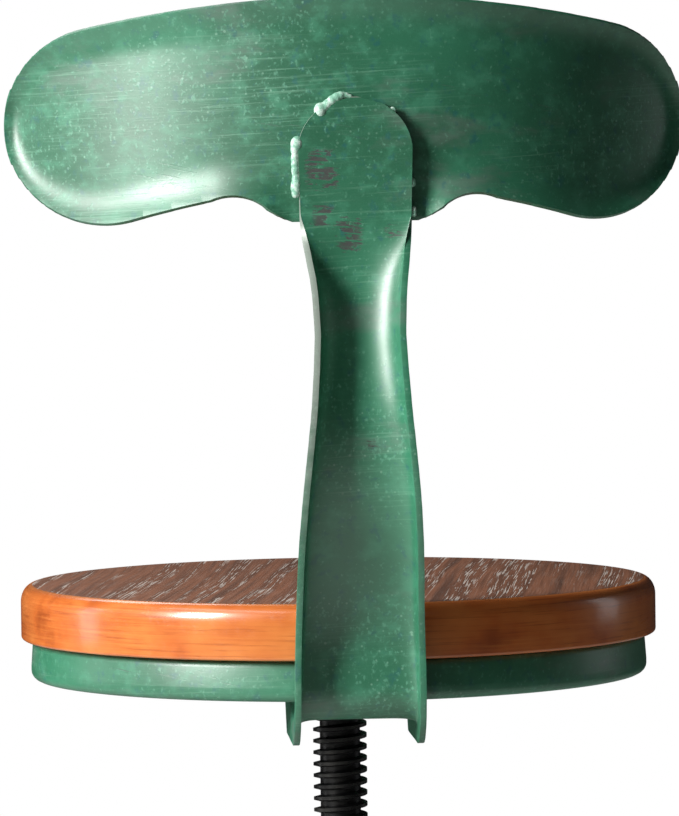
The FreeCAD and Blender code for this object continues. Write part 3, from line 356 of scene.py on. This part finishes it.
def seatWood():
    s = woodSet
    f = Finish("brushedWood", Roughness=0.35, IOR=1.5, Coat_Roughness=0.14)
    turned = f.stretch((1, 1, 1), turn=s["grainTurn"])
    bend = f.cloud(f.stretch((5, 2.2, 5), vector=turned), 1, 2)
    across = f.axis(0, turned) + bend * 0.030
    along = f.axis(1, turned)
    up = f.axis(2)
    flat = f.node("ShaderNodeCombineXYZ", None, {0: across, 1: along, 2: up})
    bands = f.cloud(f.stretch((88, 1.3, 88), vector=flat), 1, 2, 0.5)
    tone = f.cloud(f.stretch((150, 3, 150), shift=(5, 2, 0), vector=flat), 1, 3, 0.55)
    fibres = f.cloud(f.stretch((900, 14, 900), vector=flat), 1, 3, 0.6)
    pores = f.cloud(f.stretch((1150, 18, 1150), shift=(3, 0, 1), vector=flat), 1, 2, 0.5)
    pocket = f.cloud(f.stretch((300, 40, 300), shift=(8, 1, 1), vector=flat), 1, 2, 0.5)
    top = f.ramp(tone, ((0.32, s["dark"]), (0.55, s["brown"]), (0.75, s["dark"])))
    top = f.blend(f.ease(fibres, 0.42, 0.75) * 0.45, top, s["dark"])
    banded = f.ease(bands, 0.47, 0.56)
    openPores = f.ease(pores + pocket * 0.35, 0.70, 0.80) * (banded * 0.92 + 0.08)
    top = f.blend(banded * 0.30, top, s["dark"])
    top = f.blend(openPores * 0.9, top, s["silver"])
    streaks = f.cloud(f.stretch((20, 20, 760)), 1, 4, 0.65)
    figure = f.cloud(f.stretch((26, 26, 34), shift=(1, 0, 5)), 1, 3, 0.55)
    rim = f.ramp(figure, ((0.20, s["burnt"]), (0.42, s["orange"]), (0.72, s["amber"])))
    rim = f.blend(f.ease(streaks, 0.50, 0.72) * 0.45, rim, s["amber"])
    rim = f.blend(f.ease(1 - streaks, 0.52, 0.72) * 0.5, rim, s["burnt"])
    x, y = f.axis(0), f.axis(1)
    radius = (x * x + y * y).maths("SQRT") + (f.cloud(f.place, 260, 3) - 0.5) * 0.0016
    outer = f.ease(radius, s["topEdge"] - 0.0004, s["topEdge"] + 0.0004)
    above = f.ease(up, seatTop - 0.012, seatTop - 0.010)
    rimMask = f.node("ShaderNodeMath", {"operation": "MAXIMUM"}, {0: outer, 1: 1 - above})
    border = f.ease(radius, s["topEdge"] - 0.0002, s["topEdge"] + 0.0004) * (
        1 - f.ease(radius, s["topEdge"] + 0.0008, s["topEdge"] + 0.0022))
    rim = f.blend(border * 0.6, rim, s["amber"])
    colour = f.blend(rimMask, top, rim)
    rough = 0.50 - rimMask * 0.20 + openPores * 0.15
    height = (1 - rimMask) * (fibres * 0.5 - openPores * 1.0 + bands * 0.6) + streaks * 0.12
    coat = rimMask * 0.5 + 0.04
    return f.feed(Base_Color=colour, Roughness=rough, Coat_Weight=coat,
                  Normal=f.bump(height, 0.0004, 0.6))


# the plainer finishes

def beadPaint():
    f = Finish("paleWeldPaint", Roughness=0.38, IOR=1.5)
    patches = f.cloud(f.place, 260, 3, 0.6)
    fine = f.cloud(f.place, 1400, 2)
    colour = f.blend(f.ease(patches, 0.42, 0.62), (0.20, 0.42, 0.31), (0.52, 0.68, 0.60))
    return f.feed(Base_Color=colour, Normal=f.bump(patches + fine * 0.4, 0.0004, 0.8))


def blackSteel():
    f = Finish("blackSteel", Metallic=0.4)
    patches = f.cloud(f.place, 90, 4, 0.6)
    turned = f.cloud(f.stretch((30, 30, 900)), 1, 2)
    x, y = f.axis(0), f.axis(1)
    radius = (x * x + y * y).maths("SQRT")
    crest = f.ease(radius + (patches - 0.5) * 0.0006, 0.01385, 0.01405)
    colour = f.blend(f.ease(patches, 0.4, 0.7), (0.006, 0.006, 0.007), (0.016, 0.015, 0.014))
    colour = f.blend(crest * 0.5, colour, (0.06, 0.058, 0.055))
    rough = 0.30 + patches * 0.2 - crest * 0.05
    return f.feed(Base_Color=colour, Roughness=rough, Normal=f.bump(turned + patches, 0.0001, 0.5))


def bareMetal(name, light, dark, rough):
    f = Finish(name, Metallic=1.0)
    patches = f.cloud(f.place, 120, 5, 0.65)
    fine = f.cloud(f.place, 900, 2)
    colour = f.blend(f.ease(patches, 0.35, 0.7), light, dark)
    shine = rough + patches * 0.18
    return f.feed(Base_Color=colour, Roughness=shine, Normal=f.bump(fine, 0.0001, 0.4))


def footRubber():
    f = Finish("footRubber", IOR=1.5)
    dusty = f.cloud(f.place, 35, 4, 0.6)
    grain = f.cloud(f.place, 1500, 2)
    low = 1 - f.ease(f.axis(2), 0.0, 0.03)
    dust = f.ease(dusty, 0.45, 0.8) * 0.5 + low * 0.25
    colour = f.blend(dust, (0.012, 0.012, 0.012), (0.09, 0.085, 0.08))
    return f.feed(Base_Color=colour, Roughness=0.6 + dusty * 0.2, Normal=f.bump(grain, 0.0002, 0.4))


def paleFloor():
    f = Finish("paleFloor", Roughness=0.7)
    tone = f.cloud(f.place, 2.5, 3)
    colour = f.blend(tone, (0.56, 0.56, 0.55), (0.64, 0.64, 0.63))
    return f.feed(Base_Color=colour, Normal=f.bump(f.cloud(f.place, 400, 2), 0.0003, 0.3))


# mesh helpers

def roundedLine(corners, segments=6):
    # points of a line through (a, b, radius) corners, each corner an arc
    spots = []
    last = len(corners) - 1
    for i, corner in enumerate(corners):
        here = Vector(corner[:2])
        radius = corner[2] if len(corner) > 2 else 0
        if i in (0, last) or not radius:
            spots.append(here)
            continue
        before = (Vector(corners[i - 1][:2]) - here).normalized()
        after = (Vector(corners[i + 1][:2]) - here).normalized()
        half = before.angle(after) / 2
        middle = here + (before + after).normalized() * radius / math.sin(half)
        start = here + before * radius / math.tan(half) - middle
        end = here + after * radius / math.tan(half) - middle
        sweep = start.angle_signed(end)
        for step in range(segments + 1):
            turn = Matrix.Rotation(-sweep * step / segments, 2)
            spots.append(middle + turn @ start)
    return spots


def finishPiece(name, bm, finish, body, sharp=35, replaces=()):
    mesh = bpy.data.meshes.new(name)
    bm.to_mesh(mesh)
    bm.free()
    mesh.shade_smooth()
    mesh.set_sharp_from_angle(angle=math.radians(sharp))
    mesh.materials.append(finish)
    obj = bpy.data.objects.new(name, mesh)
    bpy.context.scene.collection.objects.link(obj)
    if body:
        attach(obj, body)
    if replaces:
        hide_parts(*replaces)
    return obj


def markEdgeWearAndLight(obj, amounts):
    # how pale each vertex is painted, 0 to 1: a worn bare edge, and a painted highlight where the
    # edge faces the key light
    layer = obj.data.attributes.new("rim", "FLOAT", "POINT")
    layer.data.foreach_set("value", amounts)


def addModifier(obj, kind, **settings):
    made = obj.modifiers.new(kind.lower(), kind)
    for key, item in settings.items():
        setattr(made, key, item)
    return made


def thicken(obj, s, offset):
    addModifier(obj, "SOLIDIFY", thickness=s["wall"], offset=offset, use_even_offset=True)
    addModifier(obj, "BEVEL", width=s["edgeRound"], segments=3, angle_limit=math.radians(55))


def spun(profile, steps):
    # turns a line of (radius, height) points about the Z axis
    bm = bmesh.new()
    verts = [bm.verts.new((r, 0, z)) for r, z in profile]
    edges = [bm.edges.new(pair) for pair in zip(verts, verts[1:])]
    bmesh.ops.spin(bm, geom=verts + edges, cent=(0, 0, 0), axis=(0, 0, 1),
                   angle=math.tau, steps=steps, use_merge=True)
    bmesh.ops.remove_doubles(bm, verts=bm.verts, dist=1e-6)
    bmesh.ops.recalc_face_normals(bm, faces=bm.faces)
    return bm


# the seat's places, from the frame

boardLow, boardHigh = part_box("seat_board")
panLow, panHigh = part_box("seat_pan")
spineLow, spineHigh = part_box("back_spine")
plateLow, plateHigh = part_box("backrest_plate")
seatTop = boardHigh[2]


# seat board and pan

boardSet = {
    "roundAcross": 0.0065,    # the top edge's round, seen from the side
    "roundDown": 0.0088,
    "roundSteps": 10,
    "straightGap": 0.001,     # between the top round and the straight rim
    "bottomRound": 0.0016,
    "steps": 192,
}

panSet = {
    "wall": 0.002,
    "topRound": 0.0042,
    "lean": 0.0010,           # the wall stands wider at its foot
    "lipRound": 0.0045,
    "lipRise": 0.007,
    "lipWidth": 0.007,
    "neckRound": 0.004,       # where the wall meets the lip
    "lipEdge": 0.0008,
    "insideSetback": 0.001,
    "middle": 0.01,           # radius of the hole hidden under the board
    "steps": 160,
}


def makeBoard(s, wood):
    radius = boardHigh[0]
    bottom = boardLow[2]
    profile = [(0, seatTop)]
    for step in range(s["roundSteps"] + 1):
        turn = math.pi / 2 * step / s["roundSteps"]
        profile.append((radius - s["roundAcross"] * (1 - math.sin(turn)),
                        seatTop - s["roundDown"] * (1 - math.cos(turn))))
    straight = seatTop - s["roundDown"] - s["straightGap"]
    profile += roundedLine([(radius, straight), (radius, bottom, s["bottomRound"]), (0, bottom)], 4)
    finishPiece("seatBoard", spun(profile, s["steps"]), wood, "seat", 50,
                ["seat_board"])


def makePan(s, paint):
    radius = panHigh[0]
    low, top = panLow[2], panHigh[2]
    wall, middle = s["wall"], s["middle"]
    lip = radius - s["lipWidth"]
    inside = radius - wall - s["insideSetback"]
    profile = roundedLine([
        (middle, top), (radius - s["lean"], top, s["topRound"]),
        (radius, low + s["lipRise"], s["neckRound"]), (radius, low, s["lipRound"]),
        (lip, low, s["lipEdge"]), (lip, low + wall, s["lipEdge"]),
        (inside, low + wall, 0.002), (inside, top - wall, 0.0015), (middle, top - wall)], 5)
    bm = spun([tuple(p) for p in profile] + [(middle, top)], s["steps"])
    finishPiece("seatPan", bm, paint, "seat", 40, ["seat_pan"])


# backrest plate: a flat outline, cut into a grid, flared at its edge and bent round the sitter

plateSet = {
    "bend": 0.21325,          # radius of the rear face
    "wall": 0.0025,
    "lobe": 0.048,
    "lobeDrop": 0.0614,       # from the top of the plate to the lobes' centres
    "shoulder": 0.132,
    "hip": 0.1105,
    "notch": ((0.071, 0.0112), (0.0455, 0.0088)),    # across, and above the bottom
    "notchBulge": 0.0034,
    "tongue": 0.0310,
    "cell": 0.0035,
    "flareWidth": 0.0190,
    "flareHeight": 0.0046,
    "flareNarrow": 0.0050,    # at the plate's ends the flare is narrower and steeper
    "flareRise": 0.0030,
    "topGap": 0.0011,         # room for the flared edge's thickness
    "tongueRise": 0.03,       # beside the tab, the flare fades out below this
    "tongueFade": 0.012,
    "edgeRound": 0.0009,
}


def arcPoints(start, end, bulge, count):
    # points from start to before end on an arc that bulges left of the way
    start, end = Vector(start), Vector(end)
    along = end - start
    left = Vector((-along.y, along.x)).normalized()
    radius = (along.length ** 2 / 4 + bulge ** 2) / (2 * abs(bulge))
    middle = (start + end) / 2 + left * (bulge - math.copysign(radius, bulge))
    sweep = (start - middle).angle_signed(end - middle)
    return [middle + Matrix.Rotation(-sweep * i / count, 2) @ (start - middle)
            for i in range(count)]


def plateOutline(s):
    high, low = plateHigh[2] - s["topGap"], plateLow[2]
    across = plateHigh[0] - s["lobe"]
    centre = Vector((across, high - s["lobeDrop"]))
    shoulderUp = centre.y + math.sqrt(s["lobe"] ** 2 - (across - s["shoulder"]) ** 2)
    hipDown = centre.y - math.sqrt(s["lobe"] ** 2 - (across - s["hip"]) ** 2)
    half = arcPoints((0, high), (s["shoulder"], shoulderUp), (high - shoulderUp) / 4, 30)
    first = math.atan2(shoulderUp - centre.y, s["shoulder"] - across)
    last = math.atan2(hipDown - centre.y, s["hip"] - across)
    for step in range(64):
        turn = first + (last - first) * step / 64
        half.append(centre + Vector((math.cos(turn), math.sin(turn))) * s["lobe"])
    outer, inner = [Vector((x, low + rise)) for x, rise in s["notch"]]
    half += arcPoints((s["hip"], hipDown), outer, -0.0004, 10)
    half += arcPoints(outer, inner, -s["notchBulge"], 10)
    half += arcPoints(inner, (s["tongue"], low), 0.0006, 5)
    half.append(Vector((s["tongue"], low)))
    return half + [Vector((-p.x, p.y)) for p in reversed(half[1:])]


def makePlate(s, paint):
    outline = plateOutline(s)
    bm = bmesh.new()
    bm.faces.new([bm.verts.new((p.x, 0, p.y)) for p in outline])
    low = [min(p[i] for p in outline) for i in (0, 1)]
    high = [max(p[i] for p in outline) for i in (0, 1)]
    for index, normal in ((0, (1, 0, 0)), (1, (0, 0, 1))):
        count = int((high[index] - low[index]) / s["cell"])
        for step in range(1, count):
            place = low[index] + (high[index] - low[index]) * step / count
            spot = Vector((place, 0, 0)) if index == 0 else Vector((0, 0, place))
            bmesh.ops.bisect_plane(bm, geom=bm.verts[:] + bm.edges[:] + bm.faces[:],
                                   plane_co=spot, plane_no=normal)
    bend = s["bend"]
    edge = [Vector((bend * math.asin(p.x / bend), p.y)) for p in outline]
    middle = plateLow[1] + bend
    for vert in bm.verts:
        x, z = vert.co.x, vert.co.z
        spot = Vector((bend * math.asin(max(-1, min(1, x / bend))), z))
        gap = min(distanceToSide(spot, a, b) for a, b in zip(edge, edge[1:] + edge[:1]))
        outward = (x / high[0]) ** 2
        width = s["flareWidth"] - s["flareNarrow"] * outward
        flare = max(0.0, 1 - gap / width) ** 2 * (s["flareHeight"] + s["flareRise"] * outward)
        tongue = min(1.0, max(0.0, (abs(x) - s["tongue"]) / s["tongueFade"]))
        if z < low[1] + s["tongueRise"]:
            flare *= tongue
        vert.co.y = middle - math.sqrt(bend ** 2 - x ** 2) - flare
    bmesh.ops.recalc_face_normals(bm, faces=bm.faces)
    obj = finishPiece("backrestPlate", bm, paint, "seat", 40, ["backrest_plate"])
    front = obj.data.polygons[0].normal.y > 0
    thicken(obj, s, 1 if front else -1)


def distanceToSide(spot, a, b):
    side = b - a
    share = max(0.0, min(1.0, (spot - a).dot(side) / max(side.length_squared, 1e-12)))
    return (a + side * share - spot).length


# upright and arm: one pressed channel, laid along its own path

uprightSet = {
    "wall": 0.003,
    "columns": 48,
    "rowLength": 0.0035,
    "elbow": 0.012,
    "bends": 0.100,
    "belly": (0.0175, 0.174, 0.110),    # how far back, how far down, and its radius
    "turns": (0.070, 0.259),            # the bends above and below it, down from the top
    # below the tab's top: half width, flange depth, power of the rounded section
    "stations": (
        (0.0300, 0.0280, 0.0000, 2.0), (0.0600, 0.0276, 0.0002, 2.0),
        (0.0700, 0.0268, 0.0045, 2.0), (0.0830, 0.0252, 0.0120, 2.0),
        (0.0910, 0.0240, 0.0160, 2.0), (0.1000, 0.0231, 0.0174, 2.0),
        (0.1180, 0.0223, 0.0178, 2.0), (0.1360, 0.0232, 0.0175, 2.1),
        (0.1520, 0.0245, 0.0170, 2.2), (0.1670, 0.0262, 0.0164, 2.4),
        (0.1810, 0.0279, 0.0158, 2.6), (0.1960, 0.0294, 0.0158, 2.8),
        (0.2110, 0.0305, 0.0158, 3.1), (0.2260, 0.0311, 0.0158, 3.4),
        (0.2800, 0.0323, 0.0158, 4.5), (0.3000, 0.0325, 0.0158, 6.5),
        (0.3300, 0.0325, 0.0150, 7.0)),
    "tabProbe": 0.040,
    "crown": 0.027,
    "tabRound": 0.0282,
    "flangeEnd": (-0.090, -0.059),
    "armTurn": -0.150,         # past this the flanges hang straight down
    "tabGap": 0.0002,          # between the tab and the plate's back
    "panGap": 0.005,
    "armSink": 0.002,          # the arm's outer skin below the pan's top
    "lugDrop": 0.012,
    "elbowRun": 0.024,
    "armRise": (0.034, 0.015, 0.030),    # its run, and the rounds at its ends
    "edgeRound": 0.0008,
}


def stationAt(stations, spot):
    for first, second in zip(stations, stations[1:]):
        if spot <= second[0]:
            share = max(0.0, (spot - first[0]) / (second[0] - first[0]))
            return [a + (b - a) * share for a, b in zip(first[1:], second[1:])]
    return list(stations[-1][1:])


def channelPoint(share, width, depth, power):
    # a point of the channel's outer skin; share runs from -1 to 1 across it
    turn = abs(share) * math.pi / 2
    over = math.sin(turn) ** (2 / power)
    down = 1 - max(0.0, math.cos(turn)) ** (2 / power)
    return math.copysign(over * width, share), down * depth


def uprightPath(s):
    top, low = spineHigh[2], spineLow[2]
    tab = plateLow[1] - s["tabGap"]
    front = panLow[1] - s["panGap"]
    under = panHigh[2] - s["armSink"]
    lugs = low + s["lugDrop"] + s["wall"]
    elbow = front + s["elbowRun"]
    run, lowRound, highRound = s["armRise"]
    back, down, radius = s["belly"]
    corners = [(tab, top), (tab, top - s["turns"][0], s["bends"]),
               (tab - back, top - down, radius), (front, top - s["turns"][1], s["bends"]),
               (front, lugs, s["elbow"]), (elbow, lugs, lowRound),
               (elbow + run, under, highRound), (spineHigh[1], under)]
    return roundedLine(corners, 8)


def evenly(spots, step):
    # the same line with points at an even spacing
    lengths = [0.0]
    for a, b in zip(spots, spots[1:]):
        lengths.append(lengths[-1] + (b - a).length)
    count = int(lengths[-1] / step)
    made = []
    index = 0
    for i in range(count + 1):
        want = lengths[-1] * i / count
        while index < len(spots) - 2 and lengths[index + 1] < want:
            index += 1
        share = (want - lengths[index]) / max(lengths[index + 1] - lengths[index], 1e-9)
        made.append((want, spots[index].lerp(spots[index + 1], share),
                     (spots[index + 1] - spots[index]).normalized()))
    return made


def makeUpright(s, paint):
    rows = evenly(uprightPath(s), s["rowLength"])
    bm = bmesh.new()
    bmesh.ops.create_grid(bm, x_segments=s["columns"], y_segments=len(rows) - 1, size=1)
    floorLine = spineLow[2]
    edgeWearAndLight = []
    for vert in bm.verts:
        share = vert.co.x
        want, spot, way = rows[round((1 - vert.co.y) / 2 * (len(rows) - 1))]
        width, depth, power = stationAt(s["stations"], spineHigh[2] - spot.y)
        if want < s["crown"]:
            width = s["tabRound"] * math.sqrt(max(0.0, 1 - (1 - want / s["crown"]) ** 2))
            width = max(width, 0.0015)
        out = Vector((way.y, -way.x))            # away from the sitter, then down
        if spot.x > s["armTurn"]:
            out = Vector((0, -1))
            first, last = s["flangeEnd"]
            fade = max(0.0, min(1.0, (last - spot.x) / (last - first)))
            bottom = spot.y - 0.0005 + (floorLine - spot.y) * fade
            depth = max(0.0003, spot.y - bottom) if fade else 0.0003
        x, deep = channelPoint(share, width, depth, power)
        place = spot + out * deep
        vert.co = (x, place.x, place.y)
        drop = spineHigh[2] - spot.y
        # the left flange edge faces the key light and is painted paler than the shaded right edge:
        # a painted highlight besides wear
        wornAndLitEdge = 0.95 - 0.2 * min(1.0, max(0.0, (drop - 0.13) / 0.09))
        edgeWearAndLight.append(wornAndLitEdge if share < -0.99 or want < 0.0005 else 0.55 * (share > 0.99))
    bmesh.ops.recalc_face_normals(bm, faces=bm.faces)
    obj = finishPiece("backUpright", bm, paint, "seat", 40, ["back_spine"])
    markEdgeWearAndLight(obj, edgeWearAndLight)
    bm = bmesh.new()
    bm.from_mesh(obj.data)
    spot = Vector((0, plateLow[1], spineHigh[2] - s["tabProbe"]))
    nearest = min(bm.faces, key=lambda face: (face.calc_center_median() - spot).length)
    outward = nearest.normal.y > 0
    bm.free()
    thicken(obj, s, -1 if outward else 1)


# weld beads that hold the tab to the plate

beadSet = {
    "voxel": 0.0005,
    "proud": 0.0014,          # bead centres behind the tab's back
    "wander": 0.0002,
    # places across and below the tab's top, with the bead's radius
    "runs": (
        ((-0.0285, 0.0222, 0.0030), (-0.0292, 0.0250, 0.0024), (-0.0294, 0.0290, 0.0020),
         (-0.0294, 0.0340, 0.0020), (-0.0293, 0.0385, 0.0021), (-0.0290, 0.0420, 0.0026),
         (-0.0291, 0.0450, 0.0024), (-0.0292, 0.0476, 0.0018)),
        ((-0.0172, 0.0068, 0.0031), (-0.0150, 0.0052, 0.0027), (-0.0125, 0.0030, 0.0024),
         (-0.0100, 0.0012, 0.0025), (-0.0075, -0.0006, 0.0020), (-0.0050, -0.0010, 0.0014),
         (-0.0010, 0.0002, 0.0010)),
        ((0.0278, 0.0415, 0.0017), (0.0279, 0.0432, 0.0016)),
        ((0.0285, 0.0550, 0.0012), (0.0284, 0.0590, 0.0013)),
        ((0.0195, 0.0068, 0.0012), (0.0180, 0.0058, 0.0010)),
    ),
}


def makeBeads(s, paint):
    rng = random.Random(5)
    bm = bmesh.new()
    for run in s["runs"]:
        for first, second in zip(run, run[1:]):
            for step in range(4):
                share = step / 4
                x, drop, radius = [a + (b - a) * share for a, b in zip(first, second)]
                radius *= rng.uniform(0.85, 1.12)
                y = plateLow[1] - s["proud"]
                x += rng.uniform(-1, 1) * s["wander"]
                place = Matrix.Translation((x, y, spineHigh[2] - drop))
                shape = Matrix.Diagonal((1, 0.9, rng.uniform(0.8, 1.2), 1))
                bmesh.ops.create_icosphere(bm, subdivisions=3, radius=radius,
                                           matrix=place @ shape)
    obj = finishPiece("tabWelds", bm, paint, "seat", 180, ["back_welds"])
    addModifier(obj, "REMESH", mode="VOXEL", voxel_size=s["voxel"], use_smooth_shade=True)
    addModifier(obj, "SMOOTH", factor=0.5, iterations=2)


# rubber boots on the legs

bootSet = {
    "ribs": 4,
    "ribPitch": 0.0052,
    "ribDepth": 0.0009,
    "sole": 0.009,
    "legRadius": 0.0127,
    "legReach": 0.236,        # from the screw's axis to the leg's end
    "legRun": (0.144, 0.488),    # across and down the leg's straight part
    "wall": 0.0043,
    "neckWall": 0.0026,
    "top": 0.0375,
}


def makeBoot(s, name, node, turn, rubber):
    slope = math.atan2(*s["legRun"])
    wide = s["legRadius"] + s["wall"]
    neck = s["legRadius"] + s["neckWall"]
    bore = s["legRadius"] + 0.0002
    profile = [(0, -0.02), (wide, -0.02), (wide, 0.0045)]
    for rib in range(s["ribs"]):
        start = 0.0050 + rib * s["ribPitch"]
        for rise, out in ((0, 0), (0.15, 1), (0.5, 1), (0.65, 0)):
            profile.append((wide - s["ribDepth"] * (1 - out), start + rise * s["ribPitch"]))
    profile += [tuple(p) for p in roundedLine([
        (wide - s["ribDepth"], 0.026), (neck, 0.0355, 0.004), (neck, s["top"], 0.0012),
        (bore, s["top"])], 4)]
    profile.append((bore, 0.030))
    bm = spun(profile, 64)
    place = Matrix.Rotation(math.radians(turn), 4, "Z")
    place @= Matrix.Translation((s["legReach"], 0, s["sole"])) @ Matrix.Rotation(-slope, 4, "Y")
    bmesh.ops.transform(bm, matrix=place, verts=bm.verts)
    cut = bmesh.ops.bisect_plane(bm, geom=bm.verts[:] + bm.edges[:] + bm.faces[:],
                                 plane_co=(0, 0, 0), plane_no=(0, 0, -1), clear_outer=True)
    rim = [item for item in cut["geom_cut"] if isinstance(item, bmesh.types.BMEdge)]
    bmesh.ops.holes_fill(bm, edges=rim)
    bmesh.ops.recalc_face_normals(bm, faces=bm.faces)
    finishPiece(name, bm, rubber, "base", 30, [node])


# build everything

rubMarks = (
    ((-0.0235, 0.8860), (-0.0090, 0.9045), 1.0), ((-0.0215, 0.8660), (-0.0110, 0.8780), 0.85),
    ((-0.0090, 0.8560), (0.0020, 0.8720), 0.95), ((0.0140, 0.8620), (0.0240, 0.8680), 0.7),
    ((0.0010, 0.7580), (0.0080, 0.7640), 0.6),
)

plainPaint = greenPaint("greenPaint")
uprightPaint = greenPaint("greenPaintRubbed", rubMarks)
ringPaint = greenPaint("greenPaintWorn", None, 0.14)
steel = bareMetal("zincSteel", (0.42, 0.41, 0.39), (0.20, 0.19, 0.18), 0.32)
bronze = bareMetal("turnedBronze", (0.46, 0.29, 0.12), (0.24, 0.14, 0.06), 0.30)
rubber = footRubber()
wood = seatWood()

makeBoard(boardSet, wood)
makePan(panSet, plainPaint)
print("seat made")
makePlate(plateSet, plainPaint)
makeUpright(uprightSet, uprightPaint)
makeBeads(beadSet, beadPaint())
print("backrest made")
for side, turn in (("right", 0), ("front", 90), ("left", 180), ("back", 270)):
    makeBoot(bootSet, side + "Boot", "foot_" + side, turn, rubber)
print("feet made")

slotFinish = {
    "green_paint": plainPaint, "ring_steel": ringPaint, "black_steel": blackSteel(),
    "fixing_steel": steel, "bush_bronze": bronze, "foot_rubber": rubber, "seat_wood": wood,
}
for part in frame["record"]["subparts"]:
    obj = nodes[part["node"]]
    finish = slotFinish[part["material_slot"]]
    if obj.material_slots:
        for slot in obj.material_slots:
            slot.material = finish
    else:
        obj.data.materials.append(finish)

bm = bmesh.new()
bmesh.ops.create_circle(bm, cap_ends=True, segments=96, radius=studioSet["floorRadius"])
bmesh.ops.translate(bm, vec=(0, 0, -studioSet["floorDrop"]), verts=bm.verts)
floor = finishPiece("studioFloor", bm, paleFloor(), None)
print("materials given")
